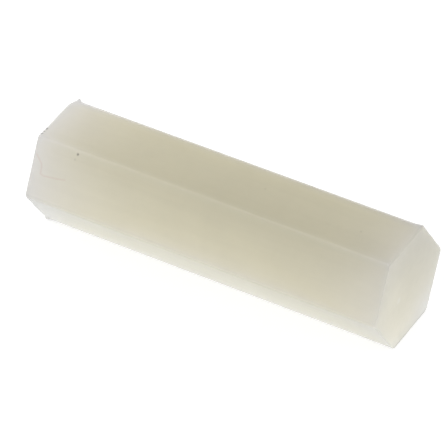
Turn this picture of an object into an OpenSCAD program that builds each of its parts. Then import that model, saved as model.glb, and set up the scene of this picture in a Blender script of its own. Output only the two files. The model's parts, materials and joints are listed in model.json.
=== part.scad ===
// Hexagonal standoff cut from natural nylon bar, lying on one of its flats.
// One end face is plain and closed. The other has a blind metric threaded hole.
// The bar runs along X, with the threaded end at -X and the closed end at +X.
// The origin is the centre of the flat that the standoff lies on, and Z points up.

/* [Bar] */
// Length of the bar from end face to end face
body_length = 20; // [16:0.5:60]
// Distance between opposite flats, which is the spanner size
across_flats = 5.5; // [5:0.1:10]
// Radius that rounds the six long edges
edge_radius = 0.3; // [0.05:0.05:0.6]

/* [Threaded hole] */
// Nominal outer diameter of the metric thread
thread_d = 3; // [2:0.25:4]
// Pitch of the thread, which also sets the size of the tapping drill
thread_pitch = 0.5; // [0.35:0.05:0.7]
// Depth of full thread, measured from the end face
thread_depth = 8; // [3:0.5:10]
// Drilled depth beyond the last full thread, for the lead of the tap
tap_run_out = 2; // [1:0.25:3]
// Included angle of the drill's point, which shapes the bottom of the hole
drill_point_angle = 118; // [90:1:140]
// Included angle of the countersink at the mouth
countersink_angle = 90; // [60:5:120]
// How much wider than the thread the rim of the countersink is
countersink_clearance = 0.2; // [0.05:0.05:0.5]

/* [Hidden] */

// Smoothness of round surfaces
$fn = 64;
// How far a cutting shape starts outside the face that it cuts
cut_margin = 1;
// How far round edges stand proud of the flats, so that the surfaces cross cleanly
blend_overlap = 0.00002;
// Warm off-white of unpigmented nylon
nylon_colour = [0.87, 0.85, 0.76];

// The corners of a hexagon stand this many degrees apart
corner_step = 60;
// Distance from the bar's axis to the centre line of a long edge's rounding
edge_centre_r = (across_flats / 2 - edge_radius) / cos(corner_step / 2);

// The wall that the tap cuts its thread in
tapping_drill_d = thread_d - thread_pitch;
drilled_depth = thread_depth + tap_run_out;
drill_point_height = tapping_drill_d / 2 / tan(drill_point_angle / 2);
countersink_d = thread_d + countersink_clearance;
countersink_slope = tan(countersink_angle / 2);
countersink_depth = (countersink_d - tapping_drill_d) / 2 / countersink_slope;

// Centre of the rounding of one long edge, on the section's plane
function edge_centre(angle) = edge_centre_r * [cos(angle), sin(angle)];

// Point on the rounded edge at corner_angle, where its arc faces normal_angle
function edge_tangent(corner_angle, normal_angle) =
    edge_centre(corner_angle) + edge_radius * [cos(normal_angle), sin(normal_angle)];

// Cross-section of the bar: straight flats that blend into round edges
module bar_section() {
    corner_angles = [for (i = [0:5]) corner_step * (i + 0.5)];
    polygon([
        for (angle = corner_angles, side = [-1, 1])
            edge_tangent(angle, angle + side * corner_step / 2)
    ]);
    for (angle = corner_angles)
        translate(edge_centre(angle)) circle(r = edge_radius + blend_overlap);
}

// Countersink, tapping-size wall and drill point, with the mouth at z = 0
module threaded_hole() {
    rotate_extrude()
        polygon([
            [0, -cut_margin],
            [countersink_d / 2 + cut_margin * countersink_slope, -cut_margin],
            [tapping_drill_d / 2, countersink_depth],
            [tapping_drill_d / 2, drilled_depth],
            [0, drilled_depth + drill_point_height]
        ]);
}

// The standoff is made upright on its threaded end and then laid on a flat
module hex_standoff() {
    color(nylon_colour)
        translate([-body_length / 2, 0, across_flats / 2])
            rotate([0, 90, 0])
                difference() {
                    linear_extrude(body_length) bar_section();
                    threaded_hole();
                }
}

hex_standoff();
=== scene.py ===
"""Looks of the hexagonal nylon standoff: its cut bar, worn ends, tapped hole and the studio round it."""
import json
import math

import bmesh
import bpy
from mathutils import Matrix, Vector, noise


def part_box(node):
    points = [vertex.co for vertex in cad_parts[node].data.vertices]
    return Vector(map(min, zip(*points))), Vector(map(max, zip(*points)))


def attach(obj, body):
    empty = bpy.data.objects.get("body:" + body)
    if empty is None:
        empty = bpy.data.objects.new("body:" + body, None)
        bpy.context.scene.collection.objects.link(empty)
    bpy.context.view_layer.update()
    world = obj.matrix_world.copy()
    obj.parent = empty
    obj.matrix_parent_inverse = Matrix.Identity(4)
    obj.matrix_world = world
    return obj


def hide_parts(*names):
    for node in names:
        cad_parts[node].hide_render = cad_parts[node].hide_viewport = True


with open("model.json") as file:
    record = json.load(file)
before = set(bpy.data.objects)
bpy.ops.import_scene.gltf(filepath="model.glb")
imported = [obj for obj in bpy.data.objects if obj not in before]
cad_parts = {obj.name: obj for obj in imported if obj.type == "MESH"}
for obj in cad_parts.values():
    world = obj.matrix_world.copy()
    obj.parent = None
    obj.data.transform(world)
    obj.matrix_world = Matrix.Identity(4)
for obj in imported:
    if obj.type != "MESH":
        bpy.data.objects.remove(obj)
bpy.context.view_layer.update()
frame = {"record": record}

MM = 0.001
NODE = "hex_standoff"

# ------------------------------------------------------------ sizes of the bar, in millimetres
# The bar lies along X on one flat, which is at height 0. All points below are (x, y, height).
LOW, HIGH = [[value / MM for value in corner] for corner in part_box(NODE)]
AXIS_HEIGHT = (LOW[2] + HIGH[2]) / 2
HALF_LENGTH = (HIGH[0] - LOW[0]) / 2
HALF_FLATS = (HIGH[2] - LOW[2]) / 2
SIDES = 6
EDGE_R = 0.3                # rounding of the six long edges
FLAT_SINK = 0.006           # how far the flats lie inside the box
END_SINK = 0.012            # how far the cut ends lie inside the box, which leaves room for burrs
ROUNDING = 0.00002          # keeps rounding errors from taking a point outside the box

THREAD_MOUNT = next(m for m in frame["record"]["mounts"] if m["name"] == "thread")
TAPPING_R = THREAD_MOUNT["dims"]["r_mm"]
PITCH = 0.5
MAJOR_R = TAPPING_R + PITCH / 2
ROOT_HALF_WIDTH = PITCH / 16    # of the flat at the bottom of the thread's groove
COUNTERSINK_CLEARANCE = 0.1     # how far the countersink's rim lies outside the thread
COUNTERSINK_R = MAJOR_R + COUNTERSINK_CLEARANCE
COUNTERSINK_DEPTH = COUNTERSINK_R - TAPPING_R
DRILLED_DEPTH = COUNTERSINK_DEPTH + THREAD_MOUNT["dims"]["length_mm"] - END_SINK
TAP_RUN_OUT = 2.0           # length at the bottom of the hole that the tap leaves without full thread
FULL_THREAD_DEPTH = DRILLED_DEPTH - TAP_RUN_OUT
THREAD_LEAD = 1.25          # length over which the tap's chamfer lets the thread fade out
THREAD_HALF_ANGLE = math.radians(30)
DRILL_HALF_ANGLE = math.radians(59)

# ------------------------------------------------------------ the drawn flats
WAVE_HEIGHT, LINE_HEIGHT = 0.0025, 0.0012       # slow draw waves, and fine lines along the bar
WAVE_FINENESS, LINE_FINENESS = (0.22, 0.9), (0.03, 5.0)     # how fast they change, along and across it
LINE_PLACE = Vector((7.3, 0, 0))    # another place in the noise than the waves'
WAVE_SINK = 0.0035          # how far inside the flats' planes the waves lie

# ------------------------------------------------------------ the cut ends
RIM_SHARP, RIM_SOFT = 0.04, 0.11        # softening of the end's rim, at most places and along the top
SOFT_FROM, SOFT_SPAN = 0.7, 0.3         # it starts where the surface faces up this much, over this span
LIP_HEIGHT, LIP_REACH = 0.028, 0.07     # burr that the saw left standing all round the rim
LIP_SHARE, LIP_RAGGED = 0.55, 0.9       # how much of that height stands on average, and how it varies
LIP_FINENESS = (0.3, 2.3)               # how fast it varies, along and across the bar
BREAK_ROUGHNESS, BREAK_FINENESS = 0.015, 9.0
# Corners broken off at the far and the closed end: a point on the break and its outward direction
NICKS = [
    (Vector((-9.80, 1.41, 5.5)), Vector((-0.85, 0.40, 0.34)).normalized()),
    (Vector((9.988, 3.08, 2.75)), Vector((0.45, 0.89, 0.0)).normalized()),
]
BURR_SPAN = 3               # radii from its centre at which a burr has died out
# Burrs: centre, direction they stand in, height, radius
BURRS = [
    (Vector((-9.65, 1.60, 5.46)), Vector((-0.35, 1.0, 0.3)), 0.21, 0.08),
    (Vector((9.80, 1.62, 5.44)), Vector((0.0, 1.0, 0.2)), 0.05, 0.20),
    (Vector((9.93, 1.62, 5.44)), Vector((0.0, 1.0, 0.2)), 0.03, 0.06),
    (Vector((-9.97, -1.18, 5.47)), Vector((-1.0, 0.0, 0.0)), 0.035, 0.045),
    (Vector((-9.97, -1.38, 5.46)), Vector((-1.0, -0.3, 0.1)), 0.035, 0.05),
    (Vector((-9.97, -1.52, 5.43)), Vector((-0.6, -1.0, 0.2)), 0.060, 0.045),
    (Vector((-9.97, -1.62, 0.08)), Vector((-0.3, -1.0, -0.2)), 0.08, 0.17),
]

# ------------------------------------------------------------ mesh density
FLAT_STEPS = 30
ARC_STEPS = 8
RIM_STEPS = 4
END_STEPS = (0.02, 0.045, 0.075, 0.11, 0.15, 0.2, 0.26, 0.33, 0.42, 0.55, 0.7, 0.9, 1.2, 1.6, 2.0)
BODY_STEP = 0.5
# Shares of the way from the rim inwards at which the ends and the drill's point have rings
CLOSED_END_SHARES = (0, 0.008, 0.02, 0.04, 0.07, 0.11, 0.16, 0.23, 0.32, 0.42, 0.53, 0.65, 0.77, 0.88, 0.95)
THREADED_END_SHARES = (0, 0.015, 0.04, 0.08, 0.13, 0.2, 0.3, 0.42, 0.56, 0.7, 0.83, 0.93, 1)
DRILL_POINT_SHARES = (0, 0.25, 0.5, 0.75, 0.9)
MERGE_DISTANCE, DEGENERATE_LENGTH = 1e-7, 1e-8      # metres


def section_points():
    """Points round the bar's section, each as (y, height, outward y, outward height)."""
    points = []
    centre_r = (HALF_FLATS - FLAT_SINK - EDGE_R) / math.cos(math.pi / SIDES)
    for side in range(SIDES):
        here, there = math.tau * side / SIDES, math.tau * (side + 1) / SIDES
        corner = Vector((math.cos(here), math.sin(here))) * centre_r
        following = Vector((math.cos(there), math.sin(there))) * centre_r
        for step in range(ARC_STEPS):
            turn = here + (step / ARC_STEPS - 0.5) * math.tau / SIDES
            out = Vector((math.cos(turn), math.sin(turn)))
            points.append((*(corner + out * EDGE_R), *out))
        turn = here + math.pi / SIDES
        out = Vector((math.cos(turn), math.sin(turn)))
        for step in range(FLAT_STEPS):
            share = (1 - math.cos(math.pi * step / FLAT_STEPS)) / 2
            points.append((*(corner.lerp(following, share) + out * EDGE_R), *out))
    return [(y, z + AXIS_HEIGHT, ny, nz) for y, z, ny, nz in points]


def rim_softness(out_height):
    """Radius of the end's rim: the cutter left it softest along the upward side."""
    upward = max(0.0, out_height - SOFT_FROM) / SOFT_SPAN
    return RIM_SHARP + (RIM_SOFT - RIM_SHARP) * upward


def end_rows(section):
    """Rows from an end's face inwards, each a list of (depth from the end, inset from the skin)."""
    rows = []
    for k in range(RIM_STEPS + 1):
        turn = math.pi / 2 * k / RIM_STEPS
        softness = [rim_softness(p[3]) for p in section]
        rows.append([(r * (1 - math.cos(turn)), r * (1 - math.sin(turn))) for r in softness])
    for step in END_STEPS:
        fade = 1 - step / END_STEPS[-1]
        rows.append([(step + rim_softness(p[3]) * fade, 0.0) for p in section])
    return rows


def flat_waviness(x, y, z):
    """Height of the slow draw waves and lines along the extruded flats."""
    along, across = WAVE_FINENESS
    slow = noise.noise(Vector((x * along, y * across, z * across)))
    along, across = LINE_FINENESS
    lines = noise.noise(Vector((x * along, y * across, z * across)) + LINE_PLACE)
    return WAVE_HEIGHT * slow + LINE_HEIGHT * lines - WAVE_SINK


def skin_grid(section):
    """Rows of points along the whole bar, from the threaded end to the closed end."""
    half = HALF_LENGTH - END_SINK
    ends = end_rows(section)
    reach = END_STEPS[-1]
    count = round(2 * (half - reach) / BODY_STEP)
    rows = [[(-half + depth, inset) for depth, inset in row] for row in ends]
    for k in range(1, count):
        rows.append([(-half + reach + 2 * (half - reach) * k / count, 0.0)] * len(section))
    rows += [[(half - depth, inset) for depth, inset in row] for row in reversed(ends)]
    grid = []
    for row in rows:
        ring = []
        for (x, inset), (y, z, ny, nz) in zip(row, section):
            out = flat_waviness(x, y, z) - inset
            ring.append(Vector((x, y + ny * out, z + nz * out)))
        grid.append(ring)
    return grid


def rings_between(outer, inner, shares):
    """Rings of points at shares of the way from one ring to another."""
    return [[a.lerp(b, share) for a, b in zip(outer, inner)] for share in shares]


def thread_phases():
    """Where the rows of one pitch lie: on the crest, along each flank and across the root."""
    flank = (MAJOR_R - TAPPING_R) * math.tan(THREAD_HALF_ANGLE)
    half = [ROOT_HALF_WIDTH + on_flank for on_flank in (0, flank / 3, flank * 2 / 3, flank)]
    middle = PITCH / 2
    return [0.0, *[middle - h for h in reversed(half)], middle, *[middle + h for h in half]]


def thread_radius(phase):
    """Radius of the internal thread at a distance along one pitch."""
    from_root = abs(phase - PITCH / 2)
    on_flank = MAJOR_R - (from_root - ROOT_HALF_WIDTH) / math.tan(THREAD_HALF_ANGLE)
    return min(MAJOR_R, max(TAPPING_R, on_flank))


def hole_point(depth, radius, angle):
    """A point of the hole, at a depth from the threaded end's face."""
    x = -HALF_LENGTH + END_SINK + depth
    return Vector((x, radius * math.cos(angle), AXIS_HEIGHT + radius * math.sin(angle)))


def hole_rows(angles):
    """The countersink, thread and drilled wall as rows that climb the thread's helix."""
    rows = []
    for turn in range(-1, math.ceil(DRILLED_DEPTH / PITCH) + 1):
        for phase in thread_phases():
            row = []
            for angle in angles:
                depth = turn * PITCH + phase + PITCH * angle / math.tau
                fade = min(1.0, max(0.0, (depth - FULL_THREAD_DEPTH) / THREAD_LEAD))
                radius = min(thread_radius(phase), MAJOR_R - (MAJOR_R - TAPPING_R) * fade)
                depth = min(DRILLED_DEPTH, max(0.0, depth))
                radius = max(radius, COUNTERSINK_R - depth)
                if depth == DRILLED_DEPTH:
                    radius = TAPPING_R
                row.append(hole_point(depth, radius, angle))
            rows.append(row)
    return rows


def outline_depth(p):
    """Distance of a point inside the bar's hexagonal outline."""
    y, z = p.y, p.z - AXIS_HEIGHT
    across = max(abs(z), abs(y * math.sin(math.pi / 3)) + abs(z) * math.cos(math.pi / 3))
    return HALF_FLATS - across


def stand_lip(p):
    """The saw's burr: the rim turned outwards a little, ragged along its length."""
    rim = Vector((HALF_LENGTH - END_SINK - abs(p.x), outline_depth(p))).length
    along, across = LIP_FINENESS
    ragged = LIP_SHARE + LIP_RAGGED * noise.noise(Vector((p.x * along, p.y * across, p.z * across)))
    height = LIP_HEIGHT * max(0.0, ragged) * math.exp(-(rim / LIP_REACH) ** 2)
    out = Vector((0, p.y, p.z - AXIS_HEIGHT))
    if out.length > 0:
        p += out.normalized() * height


def raise_burrs(p):
    """Pulls a point out where a burr stands."""
    for centre, direction, height, radius in BURRS:
        near = (p - centre).length / radius
        if near < BURR_SPAN:
            p += direction.normalized() * height * math.exp(-near * near)


def break_corners(p):
    """Pushes a point back to the rough face of a broken corner."""
    for point, out in NICKS:
        past = (p - point).dot(out)
        if past > 0:
            ragged = BREAK_ROUGHNESS * noise.noise(p * BREAK_FINENESS)
            p -= out * (past - ragged)


def worn(p):
    """A point of the outside, moved by the saw's burrs and by handling, and kept in the CAD box."""
    p = p.copy()
    stand_lip(p)
    break_corners(p)
    raise_burrs(p)
    lowest = [low + ROUNDING for low in LOW]
    highest = [high - ROUNDING for high in HIGH]
    return Vector([min(high, max(low, value)) for value, low, high in zip(p, lowest, highest)])


def add_grid(bm, grid, loop_shift=0):
    """Faces between rows of points that close on themselves, with rows loop_shift apart at the seam."""
    made = [[bm.verts.new(p * MM) for p in row] for row in grid]
    count = len(made[0])
    for j in range(len(made) - 1):
        for i in range(count):
            following = (i + 1) % count
            up = loop_shift if following == 0 else 0
            if j + 1 + up < len(made):
                next_low, next_high = made[j + up][following], made[j + 1 + up][following]
                bm.faces.new([made[j][i], next_low, next_high, made[j + 1][i]])
    return made[-1]


def close_ring(bm, ring, tip):
    """Triangles from a ring of vertices to one point."""
    tip_vertex = bm.verts.new(tip * MM)
    for i, vertex in enumerate(ring):
        bm.faces.new([vertex, ring[(i + 1) % len(ring)], tip_vertex])


# ------------------------------------------------------------ tint of the nylon, with painted light and shade
# Linear colours. The cut ends look whiter than the middle, where light goes through more nylon; the share
# of the whiter tint set below is painted light that stands in for this scattering.
CORE_COLOUR = (0.597, 0.555, 0.400)
END_COLOUR = (0.590, 0.576, 0.558)
TOP_EDGE_Y = HALF_FLATS * math.tan(math.radians(30))    # how far the two upper edges lie from the middle
HOLE_MARGIN = 0.01          # how far outside the countersink's rim points still count as the hole's
LEAST_SIDEWAYS = 0.05       # least sideways part of a normal, so that the cut ends don't divide by zero

# Pairs of an amount and the millimetres over which it fades out. These are shares of the whiter tint:
# painted light for light that scatters through the nylon near the ends and edges and rises from the floor
# below.
WHITE_FAR_END, WHITE_NEAR_END = (1.0, 2.2), (0.66, 2.0)     # along the flats, from each end
WHITE_REACH_AT_AXIS, WHITE_REACH_FALL = 1, 1.4              # how much further it reaches, by height
WHITE_REACH_BELOW = (1, 0.4)                                # the same below mid-height
WHITE_ABOVE_EDGE, WHITE_BELOW_EDGE = (0.44, 0.5), (0.44, 0.12)      # from the two edges at mid-height
WHITE_NEAR_FLOOR = (0.7, 0.9)
WHITE_BACK_EDGE, WHITE_FRONT_EDGE = (0.34, 0.28), (0.12, 0.22)      # along the two upper edges
YELLOW_LOW, YELLOW_LOW_END_REACH = (0.14, 0.8), 0.6         # less white low at the closed end
WHITE_CUT, WHITE_CUT_RIM = 0.34, 0.20                       # on the cut ends and more at their rim
WHITE_CORNER, WHITE_CORNER_CENTRE = (0.32, 1.4), Vector((HALF_LENGTH, 1.6, 0.3))    # of the closed end

# Painted shade inside the rims of the ends, as much as the light that gathers there: on most flats, in a
# narrow line, on top and below
FAR_RIM, FAR_RIM_LINE, FAR_RIM_TOP_REACH = (0.17, 0.15), (0.12, 0.05), 0.30
NEAR_RIM, NEAR_RIM_TOP, NEAR_RIM_LOW = (0.10, 0.13), (0.06, 0.38), 0.07

# Painted shade and painted highlights along the edges: how much darker or brighter the tint is there
PAINTED_SHADE_BACK_EDGE = (0.16, 0.13)
PAINTED_HIGHLIGHT_TOP_EDGE, PAINTED_HIGHLIGHT_TOP_EDGE_END = (0.05, 0.15), (0.06, 2.5)    # and how much less at the ends
PAINTED_HIGHLIGHT_FRONT_EDGE = (0.02, 0.35)
PAINTED_HIGHLIGHT_FRONT_CORNER, PAINTED_HIGHLIGHT_FRONT_CORNER_REACH = (0.06, 0.9), 0.6
# Painted light round the two edges at mid-height: how far the surface faces up where the painted glow and
# the painted line are brightest, and how much
PAINTED_SIDE_GLOW_UP, PAINTED_SIDE_GLOW = -0.12, (0.19, 0.3)
PAINTED_SIDE_LINE_UP, PAINTED_SIDE_LINE, PAINTED_SIDE_LINE_END_REACH = -0.2, (0.045, 0.1), 2.0

# Painted light and shade: brightness of each flat, and how it changes per millimetre across it
TOP_LEVEL, TOP_SLOPE, TOP_SLOPE_AT_END = 0.985, 0.042, (0.03, 3.0)
TOP_BACK_FAR, TOP_BACK_NEAR = (0.02, 5.0), (0.045, 4.0)     # darker towards the back of each end
UPPER_LEVEL, UPPER_SLOPE, UPPER_EVEN_BELOW = 1.078, 0.097, 0.35
LOWER_LEVEL, LOWER_SLOPE, LOWER_AT_EDGE = 0.788, 0.15, (0.03, 0.25)
MIDDLE_LEVEL, LENGTH_SLOPE = 1.005, 0.002
# Painted light high on the flats and painted shade low on them, from each end
FAR_END_HIGH, FAR_END_LOW = (0.34, 3.2), (0.20, 0.8)
NEAR_END_HIGH, NEAR_END_LOW, NEAR_END_LOW_SLOPE = (0.18, 1.5), (0.01, 1.0), 0.042

# Painted light and shade on the cut ends: brightness at the middle, and by height and sideways, straight
# and curved
CUT_LEVEL, CUT_BY_HEIGHT, CUT_BY_HEIGHT_CURVE = 1.11, 0.09, 0.012
CUT_BY_SIDE, CUT_BY_SIDE_CURVE = 0.044, 0.005
CUT_RIM_HIGH, CUT_RIM_LOW, CUT_RIM_REACH = 0.10, 0.08, 0.25

# Paler and darker patches: centre, how much brighter the tint is there, and radius
PATCHES = [
    (Vector((10.0, -1.3, 3.2)), (0.06, 0.8)),
    (Vector((8.9, -2.3, 4.1)), (0.035, 1.3)),
    (Vector((-6.2, -2.6, 3.7)), (0.02, 1.2)),
    (Vector((2.6, -2.2, 4.3)), (0.015, 1.3)),
    (Vector((9.95, -1.7, 5.3)), (-0.04, 0.5)),
    (Vector((8.5, -1.2, 5.5)), (-0.02, 0.9)),
]


def mixed(a, b, share):
    """A value between a (share 0) and b (share 1)."""
    return a + (b - a) * min(1.0, max(0.0, share))


def fading(pair, distance):
    """An amount that falls off evenly with distance."""
    amount, reach = pair
    return amount * math.exp(-distance / reach)


def bell(pair, distance):
    """An amount that is greatest at a place and falls off smoothly on both sides."""
    amount, width = pair
    return amount * math.exp(-(distance / width) ** 2)


def cut_share(p, normal):
    """How much a point belongs to a cut end or the hole (1) and not to the drawn flats (0)."""
    from_axis = math.hypot(p.y, p.z - AXIS_HEIGHT)
    if p.x < 0 and from_axis < COUNTERSINK_R + HOLE_MARGIN:
        return 1.0
    return min(1.0, normal.x ** 2)


def from_back_edge(p):
    """Distance from the long edge between the top and the far side."""
    return math.hypot(p.y - TOP_EDGE_Y, p.z - HIGH[2])


def from_top_front_edge(p):
    """Distance from the long edge between the top and the near side."""
    return math.hypot(p.y + TOP_EDGE_Y, p.z - HIGH[2])


def downward(up):
    """How much a surface faces down: 0 on the upper flats, 1 on the lower ones."""
    return min(1.0, max(0.0, 0.5 - up))


def end_whiteness(p):
    """Painted light: whiteness that spreads along the flats from the nearest end, furthest at mid-height,
    for light scattered in through the end.
    """
    above = p.z - AXIS_HEIGHT
    amount, reach = WHITE_FAR_END if p.x < 0 else WHITE_NEAR_END
    if above > 0:
        reach += WHITE_REACH_AT_AXIS - WHITE_REACH_FALL * above / AXIS_HEIGHT
    else:
        reach += fading(WHITE_REACH_BELOW, -above)
    return fading((amount, reach), HALF_LENGTH - abs(p.x))


def whiteness_at(p, on_cut):
    """Share of the ends' whiter tint at a point, 0 to 1: painted light from the ends, the edges and the
    floor below.
    """
    above = p.z - AXIS_HEIGHT
    on_side_edge = fading(WHITE_ABOVE_EDGE if above > 0 else WHITE_BELOW_EDGE, abs(above))
    on_flats = max(end_whiteness(p), on_side_edge, fading(WHITE_NEAR_FLOOR, p.z))
    on_flats += bell(WHITE_BACK_EDGE, from_back_edge(p))
    on_flats += bell(WHITE_FRONT_EDGE, from_top_front_edge(p))
    if p.x > 0 and above < 0:
        from_end = HALF_LENGTH - p.x
        on_flats -= fading(YELLOW_LOW, -above) * math.exp(-from_end / YELLOW_LOW_END_REACH)
    from_axis = math.hypot(p.y, above) / HALF_FLATS
    on_end = WHITE_CUT + WHITE_CUT_RIM * from_axis ** 2
    on_end += bell(WHITE_CORNER, (p - WHITE_CORNER_CENTRE).length)
    return min(1.0, mixed(on_flats, on_end, on_cut))


def painted_rim_shade(from_end, far, up):
    """Painted shade just inside the rim of the far or the closed end, as much as the light gathered there.
    """
    top = max(0.0, up)
    if far:
        amount, reach = FAR_RIM
        reach = mixed(reach, FAR_RIM_TOP_REACH, top)
        return fading((amount, reach), from_end) + fading(FAR_RIM_LINE, from_end)
    amount, reach = [mixed(side, over, top) for side, over in zip(NEAR_RIM, NEAR_RIM_TOP)]
    amount -= (NEAR_RIM[0] - NEAR_RIM_LOW) * downward(up)
    return fading((amount, reach), from_end)


def painted_rim_light_and_shade(p, up):
    """Painted shade that undoes the light that gathers inside the rims and edges, which look darker and not
    brighter, painted shade along the top back edge, and painted highlights along the top front edge and the
    front mid-height edge.
    """
    from_end = HALF_LENGTH - END_SINK - abs(p.x)
    from_front_edge = math.hypot(p.y - LOW[1], p.z - AXIS_HEIGHT)
    amount, width = PAINTED_HIGHLIGHT_TOP_EDGE
    painted_highlight = bell((amount - fading(PAINTED_HIGHLIGHT_TOP_EDGE_END, from_end), width), from_top_front_edge(p))
    painted_highlight += bell(PAINTED_HIGHLIGHT_FRONT_EDGE, from_front_edge)
    if p.x > 0:
        at_corner = math.exp(-from_end / PAINTED_HIGHLIGHT_FRONT_CORNER_REACH)
        painted_highlight += bell(PAINTED_HIGHLIGHT_FRONT_CORNER, from_front_edge) * at_corner
    painted_shade = bell(PAINTED_SHADE_BACK_EDGE, from_back_edge(p))
    return (1 - painted_rim_shade(from_end, p.x < 0, up)) * (1 - painted_shade) * (1 + painted_highlight)


def top_level(p):
    """Painted light and shade of the top flat: its brightness, sloping across it and darker towards the
    back at each end.
    """
    from_end = HALF_LENGTH - abs(p.x)
    level = TOP_LEVEL + (TOP_SLOPE - fading(TOP_SLOPE_AT_END, from_end)) * p.y
    at_end = fading(TOP_BACK_NEAR if p.x > 0 else TOP_BACK_FAR, from_end)
    return level - at_end * max(0.0, p.y) ** 2


def upper_level(p):
    """Painted light and shade of the two slanted flats that face up: their brightness, darker towards the
    top.
    """
    return UPPER_LEVEL - UPPER_SLOPE * max(UPPER_EVEN_BELOW, p.z - AXIS_HEIGHT)


def lower_level(p):
    """Painted light of the flats that face down: their brightness, rising towards the floor and just below
    the mid-height edge.
    """
    below_edge = max(0.0, AXIS_HEIGHT - p.z)
    return LOWER_LEVEL + LOWER_SLOPE * below_edge + fading(LOWER_AT_EDGE, below_edge)


def end_gain(p, up):
    """Painted light and shade towards the ends: how much brighter or darker the flats are there, which
    depends on the height.
    """
    from_end = HALF_LENGTH - abs(p.x)
    high = max(0.0, p.z / AXIS_HEIGHT - 1)
    if p.x < 0:
        return fading(FAR_END_HIGH, from_end) * high - fading(FAR_END_LOW, from_end) * downward(up)
    amount, reach = NEAR_END_LOW
    amount += NEAR_END_LOW_SLOPE * max(0.0, AXIS_HEIGHT - p.z)
    return fading(NEAR_END_HIGH, from_end) * high - fading((amount, reach), from_end) * downward(up)


def flats_level(p, up):
    """Brightness of the tint on the flats, painted as light and shade by which way they face, from those
    that face up (up 1) to the underside (up -1).
    """
    if up > 0.5:
        level = mixed(upper_level(p), top_level(p), (up - 0.5) / 0.5)
    else:
        from_end = HALF_LENGTH - abs(p.x)
        level = mixed(lower_level(p), upper_level(p), up + 0.5)
        level += bell(PAINTED_SIDE_GLOW, up - PAINTED_SIDE_GLOW_UP)
        level += bell(PAINTED_SIDE_LINE, up - PAINTED_SIDE_LINE_UP) * (1 - math.exp(-from_end / PAINTED_SIDE_LINE_END_REACH))
    return level * (MIDDLE_LEVEL - LENGTH_SLOPE * p.x) * (1 + end_gain(p, up)) * painted_rim_light_and_shade(p, up)


def cut_level(p):
    """Painted light and shade on the cut ends: brightness of the tint by height and sideways, and at the
    rim.
    """
    above = p.z - AXIS_HEIGHT
    level = CUT_LEVEL - CUT_BY_HEIGHT * above + CUT_BY_HEIGHT_CURVE * above ** 2
    level += CUT_BY_SIDE_CURVE * p.y * abs(p.y) - CUT_BY_SIDE * p.y
    upward = max(0.0, above / AXIS_HEIGHT)
    at_rim = CUT_RIM_HIGH * upward ** 2 - CUT_RIM_LOW
    return level * (1 + at_rim * math.exp(-outline_depth(p) / CUT_RIM_REACH))


def level_at(p, normal, on_cut):
    """Brightness of the tint at a point of the outside or the hole: painted light and shade, with paler and
    darker patches.
    """
    up = normal.z / max(LEAST_SIDEWAYS, math.hypot(normal.y, normal.z))
    patches = sum(bell(pair, (p - centre).length) for centre, pair in PATCHES)
    return mixed(flats_level(p, up), cut_level(p), on_cut) * (1 + patches)


def tint(mesh):
    """Stores the slow changes of tint at each point, for the material to read: mostly painted light and
    shade, as whiteness and brightness.
    """
    whiteness = mesh.attributes.new("whiteness", "FLOAT", "POINT")
    level = mesh.attributes.new("level", "FLOAT", "POINT")
    for i, vertex in enumerate(mesh.vertices):
        p = vertex.co / MM
        on_cut = cut_share(p, vertex.normal)
        whiteness.data[i].value = whiteness_at(p, on_cut)
        level.data[i].value = level_at(p, vertex.normal, on_cut)


# ------------------------------------------------------------ the bar
def from_smallest_angle(section):
    """The section's points and their angles round the axis, both from the smallest angle on."""
    angles = [math.atan2(z - AXIS_HEIGHT, y) % math.tau for y, z, _, _ in section]
    start = angles.index(min(angles))
    return section[start:] + section[:start], angles[start:] + angles[:start]


def add_worn(bm, rings):
    """Faces between rings of the outside, each point moved by wear."""
    return add_grid(bm, [[worn(p) for p in ring] for ring in rings])


def add_outside(bm, section, angles):
    """The flats, the closed end, and the threaded end as far as the countersink's rim."""
    skin = skin_grid(section)
    add_worn(bm, skin)
    closed_centre = Vector((HALF_LENGTH - END_SINK, 0, AXIS_HEIGHT))
    closed_end = rings_between(skin[-1], [closed_centre] * len(section), CLOSED_END_SHARES)
    close_ring(bm, add_worn(bm, closed_end), closed_centre)
    mouth = [hole_point(0, COUNTERSINK_R, angle) for angle in angles]
    add_worn(bm, rings_between(skin[0], mouth, THREADED_END_SHARES))


def add_hole(bm, angles):
    """The countersink, the thread, the drilled wall and the drill's conical point."""
    add_grid(bm, hole_rows(angles), loop_shift=len(thread_phases()))
    drilled_rim = [hole_point(DRILLED_DEPTH, TAPPING_R, angle) for angle in angles]
    drill_tip = hole_point(DRILLED_DEPTH + TAPPING_R / math.tan(DRILL_HALF_ANGLE), 0, 0)
    cone = rings_between(drilled_rim, [drill_tip] * len(angles), DRILL_POINT_SHARES)
    close_ring(bm, add_grid(bm, cone), drill_tip)


def build_bar():
    """The whole bar as one closed mesh, with the tint stored at each point."""
    section, angles = from_smallest_angle(section_points())
    bm = bmesh.new()
    add_outside(bm, section, angles)
    add_hole(bm, angles)
    bmesh.ops.remove_doubles(bm, verts=bm.verts, dist=MERGE_DISTANCE)
    bmesh.ops.dissolve_degenerate(bm, edges=bm.edges, dist=DEGENERATE_LENGTH)
    bmesh.ops.recalc_face_normals(bm, faces=bm.faces)
    mesh = bpy.data.meshes.new("standoff_bar")
    bm.to_mesh(mesh)
    bm.free()
    for polygon in mesh.polygons:
        polygon.use_smooth = True
    tint(mesh)
    bar = bpy.data.objects.new("standoff_bar", mesh)
    bpy.context.collection.objects.link(bar)
    return bar


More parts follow.
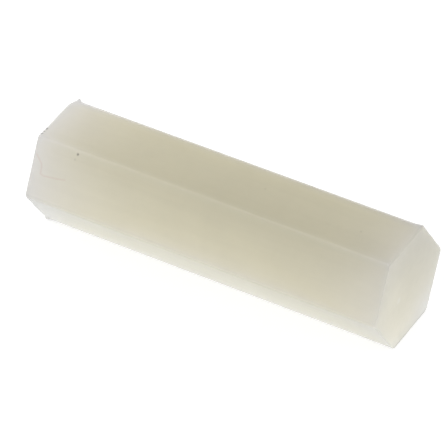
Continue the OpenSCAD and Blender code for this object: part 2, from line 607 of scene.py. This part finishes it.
# ------------------------------------------------------------ material
ROUGHNESS, ROUGHNESS_SPREAD = 0.2, 0.08
CUT_ROUGHNESS = 0.02        # added on the cut ends
CUT_SHARPNESS = 8.0         # how closely a surface has to face along the bar to count as cut
RELIEF_HEIGHT = 0.003       # millimetres that the noise's range of 0 to 1 stands for
IOR = 1.53
SCATTER_WEIGHT = 0.35
SCATTER = (1.6, 1.55, 1.4)  # millimetres that red, green and blue travel in the nylon
# Textures: the scale along each axis, fineness, detail
CLOUDS = ((1.0, 1.0, 1.0), 0.55, 3.0)
STREAKS = ((0.04, 1.0, 1.0), 3.2, 3.0)
MOTTLE = ((1.0, 1.0, 1.0), 2.6, 4.0)
SMEARS = ((0.4, 1.0, 1.0), 1.4, 4.0)
DRAW_LINES = ((0.04, 1.0, 1.0), 9.0, 3.0)
SAW_LINES = ((1.0, 0.3, 2.0), 7.0, 3.0)
RAGGED = ((1.0, 1.0, 1.0), 9.0, 3.0)
CLOUD_SPREAD, STREAK_SPREAD, MOTTLE_SPREAD = 0.06, 0.05, 0.03   # how much they change the brightness
DIRT_COLOUR = (0.030, 0.024, 0.018, 1)
HAIR_COLOUR = (0.44, 0.13, 0.10, 1)
PALE_COLOUR = (0.80, 0.79, 0.76, 1)
# A reddish hair caught on the slanted flat near the threaded end
HAIR = [(-9.86, -2.05, 4.70), (-9.48, -2.24, 4.37), (-9.42, -2.34, 4.18), (-9.43, -2.49, 3.93),
        (-9.24, -2.52, 3.88), (-8.47, -2.48, 3.96), (-8.02, -2.43, 4.04)]
HAIR_HALF_WIDTH, HAIR_SOFTNESS, HAIR_STRENGTH = 0.04, 0.03, 0.135
# Specks of dirt: centre, radius, strength. The last three sit on the burr of the far end's upper rim.
SPECKS = [
    ((-7.61, -1.70, 5.31), 0.065, 0.58),
    ((-7.71, -1.85, 5.05), 0.060, 0.12),
    ((7.57, -0.18, 5.50), 0.060, 0.10),
    ((1.93, 0.29, 5.50), 0.060, 0.08),
    ((-9.91, -0.96, 5.49), 0.065, 0.75),
    ((-9.90, -1.19, 5.49), 0.045, 0.55),
    ((-9.92, -1.38, 5.48), 0.055, 0.65),
]
SPECK_SOFTNESS = 0.03
PALE_SPOT, PALE_RADIUS, PALE_STRENGTH = (9.988, -0.93, 2.66), 0.15, 0.25    # on the closed end
MARK_RAGGEDNESS = 0.05      # how much the outlines of the dirt and the hair wander


class Graph:
    """Short ways to add and join shader nodes."""

    def __init__(self, tree):
        self.nodes, self.links = tree.nodes, tree.links

    def add(self, kind, **settings):
        node = self.nodes.new(kind)
        for name, value in settings.items():
            setattr(node, name, value)
        return node

    def feed(self, socket, value):
        if isinstance(value, bpy.types.NodeSocket):
            self.links.new(value, socket)
        else:
            socket.default_value = value

    def math(self, operation, *values, clamp=False):
        node = self.add("ShaderNodeMath", operation=operation, use_clamp=clamp)
        for socket, value in zip(node.inputs, values):
            self.feed(socket, value)
        return node.outputs[0]

    def vector(self, operation, *values, scale=None):
        node = self.add("ShaderNodeVectorMath", operation=operation)
        for socket, value in zip(node.inputs, values):
            self.feed(socket, value)
        if scale is not None:
            self.feed(node.inputs["Scale"], scale)
        return node.outputs["Value" if operation in ("LENGTH", "DISTANCE", "DOT_PRODUCT") else "Vector"]

    def mix(self, factor, a, b, blend="MIX"):
        node = self.add("ShaderNodeMix", data_type="RGBA", blend_type=blend)
        self.feed(node.inputs[0], factor)
        self.feed(node.inputs[6], a)
        self.feed(node.inputs[7], b)
        return node.outputs[2]

    def noise(self, position, texture):
        """Noise from 0 to 1, of one of the textures above."""
        axes, fineness, detail = texture
        node = self.add("ShaderNodeTexNoise")
        self.links.new(self.vector("MULTIPLY", position, axes), node.inputs["Vector"])
        node.inputs["Scale"].default_value = fineness
        node.inputs["Detail"].default_value = detail
        return node.outputs["Fac"]

    def spread(self, noise, amount, middle):
        """Noise brought to a range as wide as amount round a middle value."""
        return self.math("MULTIPLY_ADD", noise, amount, middle - amount / 2)

    def attribute(self, name):
        return self.add("ShaderNodeAttribute", attribute_name=name).outputs["Fac"]

    def within(self, distance, reach, softness):
        """1 where distance is under reach, falling to 0 over softness on either side."""
        share = self.math("DIVIDE", self.math("SUBTRACT", reach, distance), 2 * softness)
        return self.math("ADD", share, 0.5, clamp=True)

    def from_segment(self, position, start, end):
        """Distance from a straight line between two points."""
        start, end = Vector(start), Vector(end)
        along = end - start
        offset = self.vector("SUBTRACT", position, start)
        share = self.vector("DOT_PRODUCT", offset, along / along.length_squared)
        share = self.math("ADD", share, 0.0, clamp=True)
        nearest = self.vector("SCALE", tuple(along), scale=share)
        return self.vector("DISTANCE", offset, nearest)


def paint_marks(g, position, colour):
    """Lays the pale spot, the dirt and the hair over the nylon's colour."""
    ragged = g.noise(position, RAGGED)
    shaken = g.spread(ragged, MARK_RAGGEDNESS, 0.0)
    distance = g.vector("DISTANCE", position, PALE_SPOT)
    amount = g.math("MULTIPLY", g.within(distance, PALE_RADIUS, PALE_RADIUS / 2), PALE_STRENGTH)
    colour = g.mix(amount, colour, PALE_COLOUR)
    for centre, radius, strength in SPECKS:
        distance = g.math("ADD", g.vector("DISTANCE", position, centre), shaken)
        amount = g.math("MULTIPLY", g.within(distance, radius, SPECK_SOFTNESS), strength)
        colour = g.mix(amount, colour, DIRT_COLOUR)
    distance = g.from_segment(position, HAIR[0], HAIR[1])
    for start, end in zip(HAIR[1:], HAIR[2:]):
        distance = g.math("MINIMUM", distance, g.from_segment(position, start, end))
    distance = g.math("ADD", distance, shaken)
    strength = g.math("MULTIPLY_ADD", ragged, 2 * HAIR_STRENGTH, 0.0)
    amount = g.math("MULTIPLY", g.within(distance, HAIR_HALF_WIDTH, HAIR_SOFTNESS), strength)
    return g.mix(amount, colour, HAIR_COLOUR)


def nylon_colour(g, position):
    """The tint stored in the mesh, which carries painted light and shade, with fine changes of brightness
    and the marks laid over it.
    """
    colour = g.mix(g.attribute("whiteness"), (*CORE_COLOUR, 1), (*END_COLOUR, 1))
    level = g.attribute("level")
    for texture, amount in ((CLOUDS, CLOUD_SPREAD), (STREAKS, STREAK_SPREAD), (MOTTLE, MOTTLE_SPREAD)):
        level = g.math("MULTIPLY", level, g.spread(g.noise(position, texture), amount, 1.0))
    grey = g.add("ShaderNodeCombineColor")
    for socket in grey.inputs:
        g.links.new(level, socket)
    colour = g.mix(1.0, colour, grey.outputs[0], "MULTIPLY")
    return paint_marks(g, position, colour)


def surface_relief(g, position, on_cut):
    """Fine lines along the drawn flats, and the saw's lines on the cut ends."""
    drawn = g.math("MULTIPLY", g.noise(position, DRAW_LINES), g.math("SUBTRACT", 1.0, on_cut))
    sawn = g.math("MULTIPLY", g.noise(position, SAW_LINES), on_cut)
    bump = g.add("ShaderNodeBump")
    bump.inputs["Strength"].default_value = 1.0
    bump.inputs["Distance"].default_value = RELIEF_HEIGHT * MM
    g.links.new(g.math("ADD", drawn, sawn), bump.inputs["Height"])
    return bump.outputs[0]


def nylon_material():
    """Natural nylon: translucent, smooth as drawn on the flats and a little rougher where cut."""
    material = bpy.data.materials.new("natural_nylon")
    material.use_nodes = True
    g = Graph(material.node_tree)
    shader = material.node_tree.nodes["Principled BSDF"]
    shader.inputs["IOR"].default_value = IOR
    shader.inputs["Subsurface Weight"].default_value = SCATTER_WEIGHT
    shader.inputs["Subsurface Radius"].default_value = SCATTER
    shader.inputs["Subsurface Scale"].default_value = MM
    coordinates = g.add("ShaderNodeTexCoord")
    position = g.vector("SCALE", coordinates.outputs["Object"], scale=1 / MM)
    geometry = g.add("ShaderNodeNewGeometry")
    facing_end = g.math("ABSOLUTE", g.vector("DOT_PRODUCT", geometry.outputs["True Normal"], (1, 0, 0)))
    on_cut = g.math("POWER", facing_end, CUT_SHARPNESS)
    roughness = g.spread(g.noise(position, SMEARS), ROUGHNESS_SPREAD, ROUGHNESS)
    roughness = g.math("ADD", roughness, g.math("MULTIPLY", on_cut, CUT_ROUGHNESS))
    g.links.new(nylon_colour(g, position), shader.inputs["Base Color"])
    g.links.new(roughness, shader.inputs["Roughness"])
    g.links.new(surface_relief(g, position, on_cut), shader.inputs["Normal"])
    return material


# ------------------------------------------------------------ studio
WORLD_HORIZON, WORLD_ZENITH = 1.85, 0.33
WORLD_SIDE = (-0.16, -0.04, 0.0)    # how much brighter the surroundings are along each axis
FLOOR_HALF_SIZE = 1.5
FLOOR_ALBEDO, FLOOR_ROUGHNESS = 0.6, 0.9
FLOOR_LIFT = 0.6            # light that the floor adds where the camera or a reflection sees it
LIGHT_TABLE_SIZE, LIGHT_TABLE_RADIANCE = 0.3, 0.22
LIGHT_TABLE_HEIGHT = 1e-6
LIGHT_TABLE_COLOUR = (0.93, 1.0, 1.0)
SOFTBOX_AZIMUTH, SOFTBOX_ELEVATION = -56, 61    # azimuth 0 is towards -Y
SOFTBOX_DISTANCE, SOFTBOX_SIZE, SOFTBOX_RADIANCE = 0.45, 0.10, 3.0


def direction(azimuth, elevation):
    """Unit vector towards an azimuth and an elevation in degrees."""
    a, e = math.radians(azimuth), math.radians(elevation)
    return Vector((math.sin(a) * math.cos(e), -math.cos(a) * math.cos(e), math.sin(e)))


def surroundings():
    """Soft light from all round, brightest at the horizon."""
    world = bpy.data.worlds.new("studio")
    bpy.context.scene.world = world
    world.use_nodes = True
    g = Graph(world.node_tree)
    background = world.node_tree.nodes["Background"]
    background.inputs["Strength"].default_value = 1.0
    coordinates = g.add("ShaderNodeTexCoord")
    split = g.add("ShaderNodeSeparateXYZ")
    g.links.new(coordinates.outputs["Generated"], split.inputs[0])
    height = g.math("MAXIMUM", split.outputs["Z"], 0.0)
    level = g.math("MULTIPLY_ADD", height, WORLD_ZENITH - WORLD_HORIZON, WORLD_HORIZON)
    side = g.vector("DOT_PRODUCT", coordinates.outputs["Generated"], WORLD_SIDE)
    level = g.math("MULTIPLY", level, g.math("ADD", side, 1.0))
    g.links.new(level, background.inputs["Color"])


def studio_floor():
    """A plain pale floor, lit a little more for the camera and reflections, so that it looks white."""
    size = FLOOR_HALF_SIZE
    mesh = bpy.data.meshes.new("studio_floor")
    corners = [(-size, -size, 0), (size, -size, 0), (size, size, 0), (-size, size, 0)]
    mesh.from_pydata(corners, [], [(0, 1, 2, 3)])
    floor = bpy.data.objects.new("studio_floor", mesh)
    bpy.context.collection.objects.link(floor)
    material = bpy.data.materials.new("studio_floor")
    material.use_nodes = True
    g = Graph(material.node_tree)
    shader = material.node_tree.nodes["Principled BSDF"]
    shader.inputs["Base Color"].default_value = (FLOOR_ALBEDO, FLOOR_ALBEDO, FLOOR_ALBEDO, 1)
    shader.inputs["Roughness"].default_value = FLOOR_ROUGHNESS
    shader.inputs["Specular IOR Level"].default_value = 0.0
    shader.inputs["Emission Color"].default_value = (1, 1, 1, 1)
    path = g.add("ShaderNodeLightPath")
    seen = g.math("MAXIMUM", path.outputs["Is Camera Ray"], path.outputs["Is Glossy Ray"])
    seen = g.math("MAXIMUM", seen, path.outputs["Is Transmission Ray"])
    g.links.new(g.math("MULTIPLY", seen, FLOOR_LIFT), shader.inputs["Emission Strength"])
    mesh.materials.append(material)


def area_lamp(name, shape, size, energy):
    """An area lamp at the origin, which its caller moves into place."""
    lamp = bpy.data.lights.new(name, "AREA")
    lamp.shape = shape
    lamp.size = size
    lamp.energy = energy
    placed = bpy.data.objects.new(name, lamp)
    bpy.context.collection.objects.link(placed)
    return placed


def lamps():
    """A light table under the bar, which lights its lower sides, and a small softbox above."""
    area = LIGHT_TABLE_SIZE ** 2
    table = area_lamp("light_table", "SQUARE", LIGHT_TABLE_SIZE, LIGHT_TABLE_RADIANCE * math.pi * area)
    table.location = (0, 0, LIGHT_TABLE_HEIGHT)
    table.rotation_euler = (math.pi, 0, 0)
    table.visible_camera = False
    table.data.color = LIGHT_TABLE_COLOUR
    area = math.pi * (SOFTBOX_SIZE / 2) ** 2
    softbox = area_lamp("softbox", "DISK", SOFTBOX_SIZE, SOFTBOX_RADIANCE * math.pi * area)
    towards = direction(SOFTBOX_AZIMUTH, SOFTBOX_ELEVATION)
    softbox.location = towards * SOFTBOX_DISTANCE
    softbox.rotation_euler = towards.to_track_quat("Z", "Y").to_euler()


# ------------------------------------------------------------ camera, in degrees and metres
CAMERA_AZIMUTH, CAMERA_ELEVATION, CAMERA_ROLL = 34.43, 41.71, -4.16
CAMERA_DISTANCE = 0.23469
CAMERA_LENS, CAMERA_SENSOR = 389.9, 36      # millimetres
CAMERA_CLIP_START = 0.01
CAMERA_OFFSET = (-0.000447, 0.000037)


def camera():
    """The photo's camera, which looks almost at the middle of the bar."""
    azimuth, roll = math.radians(CAMERA_AZIMUTH), math.radians(CAMERA_ROLL)
    back = direction(CAMERA_AZIMUTH, CAMERA_ELEVATION)
    right = Vector((math.cos(azimuth), math.sin(azimuth), 0))
    up = back.cross(right)
    data = bpy.data.cameras.new("camera")
    data.lens = CAMERA_LENS
    data.sensor_width = CAMERA_SENSOR
    data.clip_start = CAMERA_CLIP_START
    cam = bpy.data.objects.new("camera", data)
    target = Vector((0, 0, AXIS_HEIGHT * MM))
    place = target + back * CAMERA_DISTANCE + right * CAMERA_OFFSET[0] + up * CAMERA_OFFSET[1]
    turned_right = right * math.cos(roll) + up * math.sin(roll)
    turned_up = up * math.cos(roll) - right * math.sin(roll)
    axes = Matrix((turned_right, turned_up, back)).transposed()
    cam.matrix_world = Matrix.Translation(place) @ axes.to_4x4()
    bpy.context.collection.objects.link(cam)
    bpy.context.scene.camera = cam


camera()
surroundings()
studio_floor()
lamps()
bar = build_bar()
bar.data.materials.append(nylon_material())
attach(bar, "root")
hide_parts(NODE)
bpy.context.scene.view_settings.view_transform = "Standard"
